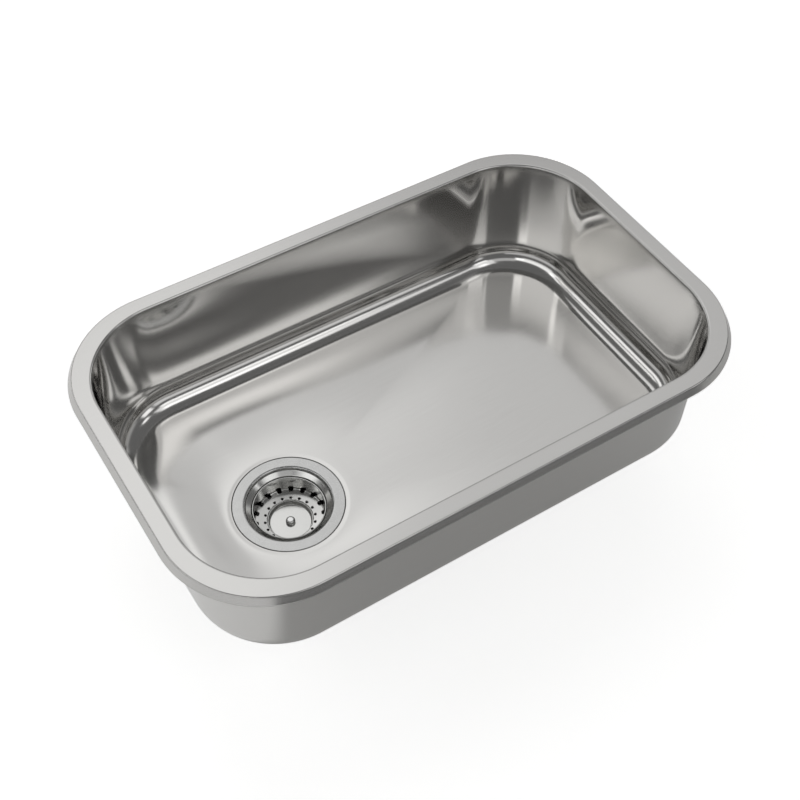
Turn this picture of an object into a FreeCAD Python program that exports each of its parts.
"""Undermount kitchen sink: a pressed steel bowl with a lipped flange, and the basket strainer in its floor.

Millimetres, +Z up, +X along the long side towards the end without the drain, +Y towards the back.
The origin is the middle of the bowl's opening, on the plane of the flange's top face, which seats
under the worktop. The strainer's pieces are drawn around their own Z axis, with Z = 0 on the floor
of the recess that the strainer sits in, and each body's placement puts them on the drain's axis.
"""

import FreeCAD, Part
import Sketcher
import math
import os

DIMENSIONS = {
    # The pressed bowl, measured inside, and the sheet that it is pressed from.
    "bowl_width": 560.0,
    "bowl_breadth": 340.0,
    "bowl_corner": 88.0,
    "floor_depth": 138.5,
    "floor_fillet": 26.0,
    "floor_margin": 1.0,
    "wall_lean": 1.4,
    "sheet": 0.8,
    # The flange, the roll at its inner edge and its turned-down lip.
    "flange_width": 17.3,
    "flange_corner": 99.5,
    "rim_roll": 2.5,
    "lip_drop": 8.0,
    "lip_flare": 4.2,
    "lip_bend": 1.6,
    # The drain's place, the fall of the floor to it, and the recess around it.
    "drain_x": -144.0,
    "drain_y": -11.5,
    "floor_fall": 7.5,
    "recess_depth": 2.2,
    "recess_slope": 4.6,
    "recess_play": 0.8,
    # The strainer body: flange, throat, funnel, cup and seat. Depths are from the flange's top.
    "body_sheet": 1.0,
    "body_flange": 57.0,
    "flange_edge_round": 0.6,
    "flange_lip_play": 0.1,
    "throat_radius": 43.5,
    "throat_roll": 3.0,
    "throat_depth": 3.5,
    "funnel_depth": 7.2,
    "cup_radius": 38.3,
    "seat_depth": 39.6,
    "seat_cone_width": 5.3,
    "seat_cone_height": 6.6,
    "neck_length": 16.4,
    "neck_bend": 1.5,
    "cup_thread_depth": 0.8,
    "cup_thread_runout": 2.9,
    "cup_thread_pitch": 2.0,
    "cup_thread_turns": 9,
    # The gaskets, ring and nut that clamp the body into the floor.
    "hole_play": 0.5,
    "upper_gasket_thick": 1.0,
    "upper_gasket_inset": 2.0,
    "lower_gasket_thick": 5.0,
    "lower_gasket_radius": 56.0,
    "friction_ring_thick": 1.0,
    "friction_ring_radius": 54.5,
    "nut_play": 0.1,
    "nut_lead": 1.5,
    "nut_flange_radius": 54.0,
    "nut_flange_thick": 3.0,
    "nut_wall": 6.3,
    "nut_height": 12.0,
    "nut_lugs": 8,
    "nut_lug_width": 6.0,
    # The threaded tail that a trap screws on.
    "tail_radius": 23.9,
    "tail_wall": 1.85,
    "tail_length": 35.4,
    "tail_collar_width": 4.1,
    "tail_collar_height": 4.0,
    "tail_thread_pitch": 2.3,
    "tail_thread_depth": 0.9,
    "tail_thread_turns": 11,
    # The cross in the neck and the rubber sleeve in its hub, which guides the post.
    "cross_drop": 6.4,
    "cross_height": 4.0,
    "cross_arm_width": 3.0,
    "cross_arms": 4,
    "cross_ring_width": 2.0,
    "hub_wall": 1.9,
    "hub_height": 8.0,
    "sleeve_wall": 1.5,
    "sleeve_lip_width": 1.2,
    "sleeve_lip_thick": 0.8,
    "snug_gap": 0.05,
    # The basket. Rises are from its dish, which stands on the stopper, to its inner faces.
    "basket_sheet": 0.8,
    "basket_play": 0.7,
    "basket_rim_width": 1.4,
    "basket_rim_height": 1.2,
    "basket_rim_rise": 26.6,
    "basket_floor_rise": 7.4,
    "basket_step_radius": 23.4,
    "basket_step_width": 2.0,
    "basket_step_rise": 5.6,
    "basket_bend": 1.0,
    "basket_slots": 18,
    "slot_width": 5.0,
    "slot_bite": 3.8,
    "slot_height": 3.6,
    "basket_holes": 18,
    "small_hole_radius": 1.4,
    "small_hole_margin": 1.0,
    # The post with its knob, and the stopper that it carries under the basket.
    "post_radius": 3.0,
    "post_play": 0.06,
    "turning_gap": 0.1,
    "collar_width": 1.4,
    "collar_thick": 0.8,
    "knob_neck_radius": 2.8,
    "knob_radius": 4.9,
    "knob_rise": 0.7,
    "knob_height": 2.9,
    "knob_round": 2.4,
    "knob_under_round": 0.4,
    "post_end": 3.0,
    "post_tip": 1.0,
    "thrust_washer_width": 4.0,
    "thrust_washer_thick": 0.6,
    "plate_width": 16.0,
    "plate_thick": 1.0,
    "stopper_margin": 2.0,
    "stopper_thick": 3.2,
    "stopper_bevel": 1.0,
    "clip_width": 2.6,
    "clip_thick": 0.8,
    "clip_bite": 0.6,
}

doc = FreeCAD.newDocument("undermount_sink")
sheet = doc.addObject("Spreadsheet::Sheet", "sizes")
for row, (alias, number) in enumerate(DIMENSIONS.items(), start=1):
    sheet.set(f"A{row}", alias)
    sheet.set(f"B{row}", str(number))
    sheet.setAlias(f"B{row}", alias)
doc.recompute()


class Size:
    """A length together with the formula, in terms of the sheet's cells, that gives it."""

    def __init__(self, value, formula):
        self.value = float(value)
        self.formula = formula

    def __add__(self, other):
        other = as_size(other)
        return Size(self.value + other.value, f"({self.formula} + {other.formula})")

    def __sub__(self, other):
        other = as_size(other)
        return Size(self.value - other.value, f"({self.formula} - {other.formula})")

    def __mul__(self, factor):
        factor = as_size(factor)
        return Size(self.value * factor.value, f"({self.formula} * {factor.formula})")

    def __truediv__(self, divisor):
        divisor = as_size(divisor)
        return Size(self.value / divisor.value, f"({self.formula} / {divisor.formula})")

    def __neg__(self):
        return Size(-self.value, f"(0 - {self.formula})")

    __radd__ = __add__
    __rmul__ = __mul__


def as_size(number):
    """A Size for a plain number, and a Size as it is."""
    return number if isinstance(number, Size) else Size(number, str(number))


def cell(alias):
    """The Size that a cell of the sheet holds."""
    return Size(sheet.get(alias), f"sizes.{alias}")


def root(size):
    """The square root of a Size."""
    return Size(math.sqrt(size.value), f"sqrt({size.formula})")


def lean_angle(run, rise):
    """The angle, in degrees, of a wall that moves sideways by run over a height of rise."""
    angle = math.degrees(math.atan2(run.value, rise.value))
    return Size(angle, f"atan({run.formula} / {rise.formula})")


def bind(thing, path, size):
    """Ties one property of an object to a formula in the sheet's cells."""
    thing.setExpression(path, size.formula)


# --- Bodies, sketches and features ---------------------------------------------------------------

bodies = []
WHOLE_TURN = 360
# A thread's groove takes this share of the pitch, and its cutter stands this share of the
# groove's depth proud of the crests.
GROOVE_SHARE = 0.8
GROOVE_PROUD = 0.25


def new_body(label, place=()):
    """A body with its name, at a place given as x, y and z."""
    body = doc.addObject("PartDesign::Body", label)
    body.Label = label
    for axis, offset in zip("xyz", place):
        bind(body, f".Placement.Base.{axis}", offset)
    bodies.append(body)
    return body


def origin_feature(body, role):
    """One of the body's own origin planes or axes, found by its role."""
    return next(f for f in body.Origin.OriginFeatures if f.Role == role)


def new_sketch(body, name, plane, z=None):
    """A sketch on one of the body's origin planes, moved off it by z."""
    sketch = body.newObject("Sketcher::SketchObject", name)
    sketch.AttachmentSupport = (origin_feature(body, plane), [""])
    sketch.MapMode = "FlatFace"
    if z is not None:
        bind(sketch, ".AttachmentOffset.Base.z", z)
    return sketch


def place_point(sketch, geometry, end, x, y):
    """Fixes one end of a line or arc at x and y from the sketch's origin, tied to the sheet."""
    for kind, size in (("DistanceX", x), ("DistanceY", y)):
        number = sketch.addConstraint(
            Sketcher.Constraint(kind, -1, 1, geometry, end, size.value)
        )
        bind(sketch, f"Constraints[{number}]", size)


def draw_polygon(sketch, points):
    """A closed outline of straight lines through points, each an x and a y."""
    points = [(as_size(x), as_size(y)) for x, y in points]
    corners = [FreeCAD.Vector(x.value, y.value, 0) for x, y in points]
    count = len(corners)
    for i in range(count):
        sketch.addGeometry(Part.LineSegment(corners[i], corners[(i + 1) % count]), False)
    for i in range(count):
        sketch.addConstraint(Sketcher.Constraint("Coincident", i, 2, (i + 1) % count, 1))
    for i, (x, y) in enumerate(points):
        place_point(sketch, i, 1, x, y)


def draw_circle(sketch, radius, x=0.0, y=0.0):
    """A circle of a radius, its centre at x and y."""
    x, y = as_size(x), as_size(y)
    centre = FreeCAD.Vector(x.value, y.value, 0)
    number = sketch.addGeometry(
        Part.Circle(centre, FreeCAD.Vector(0, 0, 1), radius.value), False
    )
    place_point(sketch, number, 3, x, y)
    constraint = sketch.addConstraint(Sketcher.Constraint("Radius", number, radius.value))
    bind(sketch, f"Constraints[{constraint}]", radius)


def draw_rounded_rectangle(sketch, width, breadth, corner):
    """A rectangle with round corners: straight sides joined by quarter arcs. Gives its points."""
    half_x, half_y = width / 2, breadth / 2
    flat_x, flat_y = half_x - corner, half_y - corner
    # The eight points where a side meets a corner's arc, anticlockwise from the right side's foot.
    points = [
        (half_x, -flat_y),
        (half_x, flat_y),
        (flat_x, half_y),
        (-flat_x, half_y),
        (-half_x, flat_y),
        (-half_x, -flat_y),
        (-flat_x, -half_y),
        (flat_x, -half_y),
    ]
    spots = [FreeCAD.Vector(px.value, py.value, 0) for px, py in points]
    up = FreeCAD.Vector(0, 0, 1)
    for i in range(4):
        sketch.addGeometry(Part.LineSegment(spots[2 * i], spots[2 * i + 1]), False)
    for i in range(4):
        after = spots[(2 * i + 2) % 8]
        before = spots[2 * i + 1]
        sideways = i % 2 == 0
        centre = FreeCAD.Vector(
            after.x if sideways else before.x, before.y if sideways else after.y, 0
        )
        start = math.radians(90 * i)
        circle = Part.Circle(centre, up, corner.value)
        sketch.addGeometry(Part.ArcOfCircle(circle, start, start + math.pi / 2), False)
    for i in range(4):
        sketch.addConstraint(Sketcher.Constraint("Coincident", i, 2, 4 + i, 1))
        sketch.addConstraint(Sketcher.Constraint("Coincident", 4 + i, 2, (i + 1) % 4, 1))
        place_point(sketch, i, 1, *points[2 * i])
        place_point(sketch, i, 2, *points[2 * i + 1])
        number = sketch.addConstraint(Sketcher.Constraint("Radius", 4 + i, corner.value))
        bind(sketch, f"Constraints[{number}]", corner)
    return points


def draw_fanned_circle(sketch, radius, x, y, spots):
    """A circle about x and y in arcs that end on the lines from its centre to the spots."""
    up = FreeCAD.Vector(0, 0, 1)
    centre = FreeCAD.Vector(x.value, y.value, 0)
    ends = []
    for spot_x, spot_y in spots:
        run, rise = spot_x - x, spot_y - y
        share = radius / root(run * run + rise * rise)
        ends.append((x + run * share, y + rise * share))
    count = len(ends)
    angles = [math.atan2(py.value - y.value, px.value - x.value) for px, py in ends]
    for i in range(count):
        start, stop = angles[i], angles[(i + 1) % count]
        if stop < start:
            stop += 2 * math.pi
        circle = Part.Circle(centre, up, radius.value)
        sketch.addGeometry(Part.ArcOfCircle(circle, start, stop), False)
    for i, (px, py) in enumerate(ends):
        sketch.addConstraint(Sketcher.Constraint("Coincident", i, 2, (i + 1) % count, 1))
        place_point(sketch, i, 1, px, py)
        number = sketch.addConstraint(Sketcher.Constraint("Radius", i, radius.value))
        bind(sketch, f"Constraints[{number}]", radius)


def extrude(body, kind, name, sketch, length, down=False, lean=None):
    """A Pad or Pocket of a sketch by a length, optionally the other way and with leaning walls."""
    feature = body.newObject(f"PartDesign::{kind}", name)
    feature.Profile = sketch
    bind(feature, "Length", length)
    feature.Reversed = down
    if lean is not None:
        bind(feature, "TaperAngle", lean)
    doc.recompute()
    return feature


def turn(body, kind, name, sketch):
    """A Revolution or Groove of a sketch, a whole turn about the sketch's own upright axis."""
    feature = body.newObject(f"PartDesign::{kind}", name)
    feature.Profile = sketch
    feature.ReferenceAxis = (sketch, ["V_Axis"])
    feature.Angle = WHOLE_TURN
    doc.recompute()
    return feature


def turned_body(label, points):
    """A body turned about the drain's axis from an outline of radius and height pairs."""
    body = new_body(label, on_drain)
    sketch = new_sketch(body, f"{label}_outline", "XZ_Plane")
    draw_polygon(sketch, points)
    turn(body, "Revolution", f"{label}_turned", sketch)
    return body


def ring_pattern(body, feature, count):
    """Copies a feature evenly round the body's Z axis."""
    pattern = body.newObject("PartDesign::PolarPattern", f"{feature.Name}_ring")
    pattern.Originals = [feature]
    pattern.Axis = (origin_feature(body, "Z_Axis"), [""])
    pattern.Angle = WHOLE_TURN
    bind(pattern, "Occurrences", count)
    body.Tip = pattern
    doc.recompute()
    return pattern


def stacked_pattern(body, feature, count, pitch):
    """Copies a feature down the body's Z axis, a pitch apart."""
    pattern = body.newObject("PartDesign::LinearPattern", f"{feature.Name}_stack")
    pattern.Originals = [feature]
    pattern.Direction = (origin_feature(body, "Z_Axis"), [""])
    pattern.Reversed = True
    bind(pattern, "Length", pitch * (count - 1))
    bind(pattern, "Occurrences", count)
    body.Tip = pattern
    doc.recompute()
    return pattern


def round_off(body, name, radius, wanted):
    """Fillets the edges of the body's tip for which wanted(edge) holds."""
    base = body.Tip
    names = [f"Edge{i}" for i, edge in enumerate(base.Shape.Edges, start=1) if wanted(edge)]
    if not names:
        raise RuntimeError(f"{body.Label}: no edge was found for {name}")
    feature = body.newObject("PartDesign::Fillet", name)
    feature.Base = (base, names)
    bind(feature, "Radius", radius)
    doc.recompute()
    return feature


NEAR = 0.005


def flat_loop(level, half_x=None, half_y=None):
    """Picks the edges that lie on a level, of the loop with these half sizes where they are given."""

    def wanted(edge):
        box = edge.BoundBox
        if abs(box.ZMin - level.value) > NEAR or abs(box.ZMax - level.value) > NEAR:
            return False
        if half_x is None:
            return True
        reach_x = max(abs(box.XMin), abs(box.XMax))
        reach_y = max(abs(box.YMin), abs(box.YMax))
        on_x = abs(reach_x - half_x.value) < NEAR
        on_y = abs(reach_y - half_y.value) < NEAR
        return (on_x or on_y) and reach_x < half_x.value + NEAR and reach_y < half_y.value + NEAR

    return wanted


def circle_at(radius, level):
    """Picks the round edges of one radius on one level."""

    def wanted(edge):
        curve = edge.Curve
        if not isinstance(curve, Part.Circle) or abs(curve.Radius - radius.value) > NEAR:
            return False
        return abs(curve.Center.z - level.value) < NEAR

    return wanted


# --- Sizes that several pieces share -------------------------------------------------------------

sheet_t = cell("sheet")
floor_level = -cell("floor_depth")
fall_level = floor_level - cell("floor_fall")
recess_level = fall_level - cell("recess_depth")
drain_x, drain_y = cell("drain_x"), cell("drain_y")
on_drain = (drain_x, drain_y, recess_level)
recess_radius = cell("body_flange") + cell("recess_play") + cell("recess_slope")

# From here on, heights are in the strainer's own frame, up from the recess's floor.
body_t = cell("body_sheet")
flange_under = cell("upper_gasket_thick")
flange_top = flange_under + body_t
funnel_foot = flange_top - cell("funnel_depth")
seat_level = flange_top - cell("seat_depth")
floor_under = seat_level - body_t
neck_foot = seat_level - cell("neck_length")

throat_outer = cell("throat_radius") + body_t
hole_radius = throat_outer + cell("hole_play")
cup_outer = cell("cup_radius") + body_t
thread_crest = cup_outer + cell("cup_thread_depth")
seat_radius = cell("cup_radius") - cell("seat_cone_width")
neck_radius = cell("tail_radius") - cell("tail_wall") - cell("snug_gap") - body_t
post_radius = cell("post_radius")

# The stack that clamps the sheet, from the floor's underside down.
lower_gasket_foot = -sheet_t - cell("lower_gasket_thick")
nut_top = lower_gasket_foot - cell("friction_ring_thick")

# The cross in the neck, and the stack that stands on the seat: seal, plate, washer, basket.
hub_top = seat_level - cell("cross_drop")
hub_foot = hub_top - cell("hub_height")
sleeve_radius = post_radius + cell("post_play") + cell("sleeve_wall")
seal_top = seat_level + cell("stopper_thick")
plate_top = seal_top + cell("plate_thick")
thrust_top = plate_top + cell("thrust_washer_thick")
basket_t = cell("basket_sheet")
dish_top = thrust_top + basket_t


# --- The pressed bowl ----------------------------------------------------------------------------


def leaning_block(body, kind, name, width, breadth, corner, depth, lean, top=None):
    """A Pad or Pocket of a rounded rectangle, downwards, with walls that move in by lean."""
    sketch = new_sketch(body, f"{name}_outline", "XY_Plane", z=top)
    draw_rounded_rectangle(sketch, width, breadth, corner)
    slope = lean_angle(-lean, depth)
    return extrude(body, kind, name, sketch, depth, down=kind == "Pad", lean=slope)


def falling_floor(body, kind, name, top, foot):
    """A loft from the flat edge of the floor down to the circle around the drain."""
    inset = cell("floor_fillet") + cell("floor_margin") + cell("wall_lean")
    width = cell("bowl_width") - inset * 2
    breadth = cell("bowl_breadth") - inset * 2
    corner = cell("bowl_corner") - inset
    edge = new_sketch(body, f"{name}_edge", "XY_Plane", z=top)
    spots = draw_rounded_rectangle(edge, width, breadth, corner)
    circle = new_sketch(body, f"{name}_circle", "XY_Plane", z=foot)
    draw_fanned_circle(circle, recess_radius, drain_x, drain_y, spots)
    loft = body.newObject(f"PartDesign::{kind}", name)
    loft.Profile = edge
    loft.Sections = [circle]
    loft.Ruled = True
    doc.recompute()
    return loft


def recess(body, kind, name, top):
    """The shallow sloping recess around the drain, as a Pad or a Pocket."""
    sketch = new_sketch(body, f"{name}_circle", "XY_Plane", z=top)
    draw_circle(sketch, recess_radius, drain_x, drain_y)
    slope = lean_angle(-cell("recess_slope"), cell("recess_depth"))
    return extrude(body, kind, name, sketch, cell("recess_depth"), down=kind == "Pad", lean=slope)


def make_sink_bowl():
    """The bowl: flange and lip, then the outside of the pressing, then its inside cut out."""
    body = new_body("sink_bowl")
    width, breadth, corner = cell("bowl_width"), cell("bowl_breadth"), cell("bowl_corner")
    depth, lean = cell("floor_depth"), cell("wall_lean")
    flange_w = width + cell("flange_width") * 2
    flange_b = breadth + cell("flange_width") * 2
    drop, flare = cell("lip_drop"), cell("lip_flare")

    leaning_block(body, "Pad", "lip_outside", flange_w, flange_b, cell("flange_corner"), drop, -flare)
    # One sheet lower the lip's outer face has moved out a little, and its inner face is one
    # sheet behind that.
    step = flare * sheet_t / drop - sheet_t
    inner_w = flange_w + step * 2
    inner_b = flange_b + step * 2
    inner_corner = cell("flange_corner") + step
    under_drop = drop - sheet_t
    under_flare = flare * under_drop / drop
    leaning_block(
        body, "Pocket", "lip_inside", inner_w, inner_b, inner_corner, under_drop, -under_flare,
        top=-sheet_t,
    )
    outer_w = width + sheet_t * 2
    outer_b = breadth + sheet_t * 2
    outer_depth = depth + sheet_t
    leaning_block(
        body, "Pad", "bowl_outside", outer_w, outer_b, corner + sheet_t, outer_depth, lean
    )
    falling_floor(body, "AdditiveLoft", "floor_outside", -outer_depth, fall_level - sheet_t)
    recess(body, "Pad", "recess_outside", fall_level - sheet_t)

    leaning_block(body, "Pocket", "bowl_inside", width, breadth, corner, depth, lean)
    round_off(body, "foot_inside", cell("floor_fillet"), flat_loop(floor_level))
    falling_floor(body, "SubtractiveLoft", "floor_inside", floor_level, fall_level)
    recess(body, "Pocket", "recess_inside", fall_level)
    hole = new_sketch(body, "drain_hole_circle", "XY_Plane", z=fall_level)
    draw_circle(hole, hole_radius, drain_x, drain_y)
    extrude(body, "Pocket", "drain_hole", hole, cell("recess_depth") + sheet_t * 2)

    # The outside keeps its square foot until the inside is round, or the cut would break through.
    foot_edges = flat_loop(-outer_depth, outer_w / 2 - lean, outer_b / 2 - lean)
    round_off(body, "foot_outside", cell("floor_fillet") + sheet_t, foot_edges)
    # Each bend of the flange is round above and, one sheet tighter, below.
    top = as_size(0)
    wall_step = lean * sheet_t / outer_depth
    under_edges = flat_loop(-sheet_t, outer_w / 2 - wall_step, outer_b / 2 - wall_step)
    round_off(body, "rim_roll_under", cell("rim_roll") - sheet_t, under_edges)
    round_off(body, "rim_roll", cell("rim_roll"), flat_loop(top, width / 2, breadth / 2))
    lip_edges = flat_loop(-sheet_t, inner_w / 2, inner_b / 2)
    round_off(body, "lip_bend_under", cell("lip_bend") - sheet_t, lip_edges)
    round_off(body, "lip_bend", cell("lip_bend"), flat_loop(top, flange_w / 2, flange_b / 2))


# --- The strainer's fixed pieces -----------------------------------------------------------------


def ring(label, inner, outer, foot, top):
    """A flat ring about the drain's axis."""
    turned_body(label, [(inner, foot), (outer, foot), (outer, top), (inner, top)])


def cut_thread(body, name, crest, depth, pitch, turns, top):
    """Rings of vee grooves cut into a crest cylinder, a pitch apart, from a level down."""
    half = pitch * GROOVE_SHARE / 2
    proud = crest + depth * GROOVE_PROUD
    middle = top - pitch / 2
    sketch = new_sketch(body, f"{name}_groove_outline", "XZ_Plane")
    draw_polygon(sketch, [(crest - depth, middle), (proud, middle + half), (proud, middle - half)])
    groove = turn(body, "Groove", f"{name}_groove", sketch)
    stacked_pattern(body, groove, turns, pitch)


def make_strainer_body():
    """The drawn steel body: flange, rolled throat, funnel, threaded cup, seat and neck."""
    throat_foot = flange_top - cell("throat_depth")
    cup_foot = seat_level + cell("seat_cone_height")
    neck_outer = neck_radius + body_t
    thread_top = funnel_foot - body_t / 2 - cell("cup_thread_runout")
    thread_foot = thread_top - cell("cup_thread_pitch") * cell("cup_thread_turns")
    half_t = body_t / 2
    # The flange's edge turns down to just clear of the floor, and hides the gasket.
    flange_edge = cell("body_flange")
    lip_inner = flange_edge - body_t
    lip_foot = cell("flange_lip_play")
    body = turned_body("strainer_body", [
        (flange_edge, flange_top),
        (cell("throat_radius"), flange_top),
        (cell("throat_radius"), throat_foot),
        (cell("cup_radius"), funnel_foot),
        (cell("cup_radius"), cup_foot),
        (seat_radius, seat_level),
        (neck_radius, seat_level),
        (neck_radius, neck_foot),
        (neck_outer, neck_foot),
        (neck_outer, floor_under),
        (seat_radius + half_t, floor_under),
        (cup_outer, cup_foot - half_t),
        (cup_outer, thread_foot),
        (thread_crest, thread_foot),
        (thread_crest, thread_top),
        (cup_outer, thread_top),
        (cup_outer, funnel_foot - half_t),
        (throat_outer, throat_foot - half_t),
        (throat_outer, flange_under),
        (lip_inner, flange_under),
        (lip_inner, lip_foot),
        (flange_edge, lip_foot),
    ])
    cut_thread(
        body, "cup_thread", thread_crest, cell("cup_thread_depth"), cell("cup_thread_pitch"),
        cell("cup_thread_turns"), thread_top,
    )
    roll = cell("throat_roll")
    round_off(body, "throat_roll_under", roll - body_t, circle_at(throat_outer, flange_under))
    round_off(body, "throat_roll", roll, circle_at(cell("throat_radius"), flange_top))
    round_off(body, "neck_bend", cell("neck_bend"), circle_at(neck_radius, seat_level))
    round_off(body, "flange_edge", cell("flange_edge_round"), circle_at(flange_edge, flange_top))


def make_lock_nut():
    """The big nut under the floor: a collar with a lead-in, a pressing flange and grip lugs."""
    bore = thread_crest + cell("nut_play")
    collar = bore + cell("nut_wall")
    flange_foot = nut_top - cell("nut_flange_thick")
    nut_foot = nut_top - cell("nut_height")
    body = turned_body("lock_nut", [
        (bore, nut_top - cell("nut_lead")),
        (bore + cell("nut_lead"), nut_top),
        (cell("nut_flange_radius"), nut_top),
        (cell("nut_flange_radius"), flange_foot),
        (collar, flange_foot),
        (collar, nut_foot),
        (bore, nut_foot),
    ])
    half = cell("nut_lug_width") / 2
    inner = bore + cell("nut_wall") / 2
    outer = cell("nut_flange_radius") - cell("nut_lug_width") / 4
    outline = new_sketch(body, "lug_outline", "XY_Plane", z=nut_foot)
    draw_polygon(outline, [(inner, -half), (outer, -half), (outer, half), (inner, half)])
    lug = extrude(body, "Pad", "lug", outline, cell("nut_height") - cell("nut_flange_thick") / 2)
    ring_pattern(body, lug, cell("nut_lugs"))


def make_outlet_tail():
    """The threaded tail on the neck, with the collar that stops under the cup."""
    outer = cell("tail_radius")
    inner = outer - cell("tail_wall")
    foot = floor_under - cell("tail_length")
    collar = outer + cell("tail_collar_width")
    collar_foot = floor_under - cell("tail_collar_height")
    thread_length = cell("tail_thread_pitch") * cell("tail_thread_turns")
    body = turned_body("outlet_tail", [
        (inner, floor_under),
        (collar, floor_under),
        (collar, collar_foot),
        (outer, collar_foot),
        (outer, foot),
        (inner, foot),
    ])
    cut_thread(
        body, "tail_thread", outer, cell("tail_thread_depth"), cell("tail_thread_pitch"),
        cell("tail_thread_turns"), foot + thread_length,
    )


def make_outlet_cross():
    """The cross pressed into the neck: an outer ring, arms and a hub with a bore."""
    ring_foot = hub_top - cell("cross_height")
    outer = neck_radius - cell("snug_gap")
    inner = outer - cell("cross_ring_width")
    bore = sleeve_radius + cell("snug_gap")
    hub = bore + cell("hub_wall")
    body = turned_body("outlet_cross", [
        (bore, hub_foot), (hub, hub_foot), (hub, hub_top), (bore, hub_top),
    ])
    half = cell("cross_arm_width") / 2
    near = bore + cell("hub_wall") / 2
    far = inner + cell("cross_ring_width") / 2
    arm_outline = new_sketch(body, "arm_outline", "XY_Plane", z=ring_foot)
    draw_polygon(arm_outline, [(near, -half), (far, -half), (far, half), (near, half)])
    arm = extrude(body, "Pad", "arm", arm_outline, cell("cross_height"))
    ring_pattern(body, arm, cell("cross_arms"))
    ring_outline = new_sketch(body, "ring_outline", "XZ_Plane")
    draw_polygon(
        ring_outline, [(inner, ring_foot), (outer, ring_foot), (outer, hub_top), (inner, hub_top)]
    )
    turn(body, "Revolution", "outer_ring", ring_outline)


def make_post_sleeve():
    """The rubber sleeve in the hub, with a lip that rests on the hub's top."""
    bore = post_radius + cell("post_play")
    lip = sleeve_radius + cell("sleeve_lip_width")
    lip_top = hub_top + cell("sleeve_lip_thick")
    turned_body("post_sleeve", [
        (bore, hub_foot),
        (sleeve_radius, hub_foot),
        (sleeve_radius, hub_top),
        (lip, hub_top),
        (lip, lip_top),
        (bore, lip_top),
    ])


def make_clamped_rings():
    """The gaskets above and below the floor's sheet, and the ring that the nut turns on."""
    under_roll = cell("throat_roll") - body_t
    gasket_outer = cell("body_flange") - cell("upper_gasket_inset")
    ring("flange_gasket", hole_radius + under_roll, gasket_outer, as_size(0), flange_under)
    ring("lower_gasket", hole_radius, cell("lower_gasket_radius"), lower_gasket_foot, -sheet_t)
    ring("friction_ring", hole_radius, cell("friction_ring_radius"), nut_top, lower_gasket_foot)


# --- The basket and its stopper ------------------------------------------------------------------


def make_basket():
    """The perforated basket: rim, wall, holed floor, and the dish in its middle."""
    rim_radius = cell("cup_radius") - cell("basket_play")
    wall = rim_radius - cell("basket_rim_width")
    wall_outer = wall + basket_t
    rim_top = dish_top + cell("basket_rim_rise")
    rim_foot = rim_top - cell("basket_rim_height")
    floor_top = dish_top + cell("basket_floor_rise")
    step = cell("basket_step_radius")
    step_top = dish_top + cell("basket_step_rise")
    dish = step - cell("basket_step_width")
    bore = post_radius + cell("post_play")
    body = turned_body("basket", [
        (bore, dish_top),
        (dish, dish_top),
        (step, step_top),
        (wall, floor_top),
        (wall, rim_top),
        (rim_radius, rim_top),
        (rim_radius, rim_foot),
        (wall_outer, rim_foot - basket_t),
        (wall_outer, floor_top - basket_t),
        (step + basket_t, step_top - basket_t),
        (dish + basket_t, dish_top - basket_t),
        (bore, dish_top - basket_t),
    ])
    bend = cell("basket_bend")
    round_off(body, "wall_bend_inside", bend, circle_at(wall, floor_top))
    round_off(body, "wall_bend_outside", bend + basket_t, circle_at(wall_outer, floor_top - basket_t))
    round_off(body, "dish_bend", bend, circle_at(dish, dish_top))
    round_off(body, "step_bend", bend, circle_at(step, step_top))

    # The slots cut through the bend between the wall and the floor.
    half = cell("slot_width") / 2
    inner = wall - cell("slot_bite")
    outer = rim_radius + basket_t
    slot_outline = new_sketch(body, "slot_outline", "XY_Plane", z=floor_top + cell("slot_height"))
    draw_polygon(slot_outline, [(inner, -half), (outer, -half), (outer, half), (inner, half)])
    slot = extrude(body, "Pocket", "slot", slot_outline, cell("slot_height") + basket_t * 3)
    ring_pattern(body, slot, cell("basket_slots"))

    # The small holes ring the step down to the dish.
    hole_ring = step + cell("small_hole_radius") + cell("small_hole_margin")
    hole_outline = new_sketch(body, "small_hole_outline", "XY_Plane", z=floor_top)
    draw_circle(hole_outline, cell("small_hole_radius"), hole_ring)
    hole = extrude(body, "Pocket", "small_hole", hole_outline, floor_top - step_top + basket_t * 2)
    ring_pattern(body, hole, cell("basket_holes"))


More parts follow.
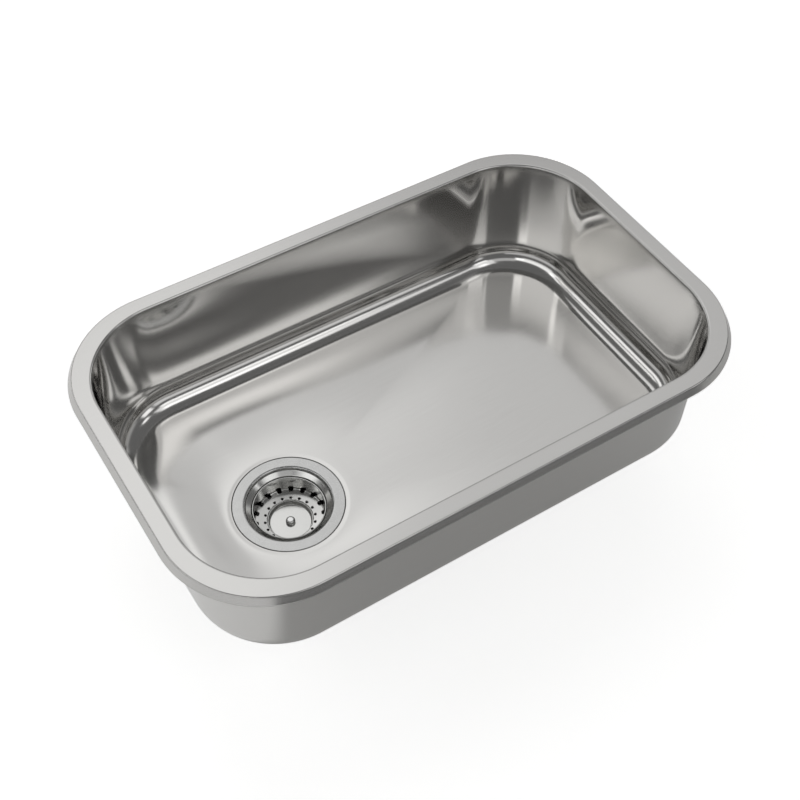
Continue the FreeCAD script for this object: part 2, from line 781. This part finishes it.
def make_basket_post():
    """The post: knob, neck, collar over the basket, shaft, clip groove and tapered tip."""
    collar = post_radius + cell("collar_width")
    collar_foot = dish_top + cell("turning_gap")
    collar_top = collar_foot + cell("collar_thick")
    neck, knob = cell("knob_neck_radius"), cell("knob_radius")
    knob_foot = collar_top + cell("knob_rise")
    knob_top = knob_foot + cell("knob_height")
    tip = hub_foot - cell("post_end")
    tip_cut = cell("post_tip")
    groove = post_radius - cell("clip_bite")
    groove_foot = seat_level - cell("clip_thick")
    body = turned_body("basket_post", [
        (0, tip),
        (post_radius - tip_cut, tip),
        (post_radius, tip + tip_cut),
        (post_radius, groove_foot),
        (groove, groove_foot),
        (groove, seat_level),
        (post_radius, seat_level),
        (post_radius, collar_foot),
        (collar, collar_foot),
        (collar, collar_top),
        (neck, collar_top),
        (neck, knob_foot),
        (knob, knob_foot),
        (knob, knob_top),
        (0, knob_top),
    ])
    round_off(body, "knob_round", cell("knob_round"), circle_at(knob, knob_top))
    round_off(body, "knob_under_round", cell("knob_under_round"), circle_at(knob, knob_foot))


def make_stopper():
    """The stopper on the post: rubber seal, stiffening plate, thrust washer and retaining clip."""
    on_post = post_radius + cell("snug_gap")
    seal = seat_radius - cell("stopper_margin")
    bevel = cell("stopper_bevel")
    turned_body("stopper_seal", [
        (on_post, seat_level),
        (seal - bevel, seat_level),
        (seal, seat_level + bevel),
        (seal, seal_top),
        (on_post, seal_top),
    ])
    ring("stopper_plate", on_post, post_radius + cell("plate_width"), seal_top, plate_top)
    washer = post_radius + cell("thrust_washer_width")
    ring("thrust_washer", on_post, washer, plate_top, thrust_top - cell("turning_gap"))
    in_groove = post_radius - cell("clip_bite") + cell("snug_gap")
    clip = post_radius + cell("clip_width")
    ring("retaining_clip", in_groove, clip, seat_level - cell("clip_thick"), seat_level)


# --- Making, checking and writing ----------------------------------------------------------------


def check_document():
    """Stops if an object failed to build, or if a sub-part isn't one valid solid."""
    for thing in doc.Objects:
        faults = [state for state in thing.State if state in ("Invalid", "Error")]
        if faults:
            raise RuntimeError(f"{thing.Label}: {faults}")
    for body in bodies:
        shape = body.Shape
        if shape.isNull() or not shape.isValid() or len(shape.Solids) != 1:
            raise RuntimeError(f"{body.Label}: not one valid solid")


def write_parts():
    """Writes each sub-part in the part's own frame, and prints its size."""
    os.makedirs("parts", exist_ok=True)
    for body in bodies:
        body.Shape.exportStep(f"parts/{body.Label}.step")
        box = body.Shape.BoundBox
        print(
            f"{body.Label}: {box.XLength:.1f} x {box.YLength:.1f} x {box.ZLength:.1f} mm,"
            f" {body.Shape.Volume / 1000:.2f} cm3"
        )


make_sink_bowl()
make_strainer_body()
make_clamped_rings()
make_lock_nut()
make_outlet_tail()
make_outlet_cross()
make_post_sleeve()
make_basket()
make_basket_post()
make_stopper()
doc.recompute()
check_document()
write_parts()
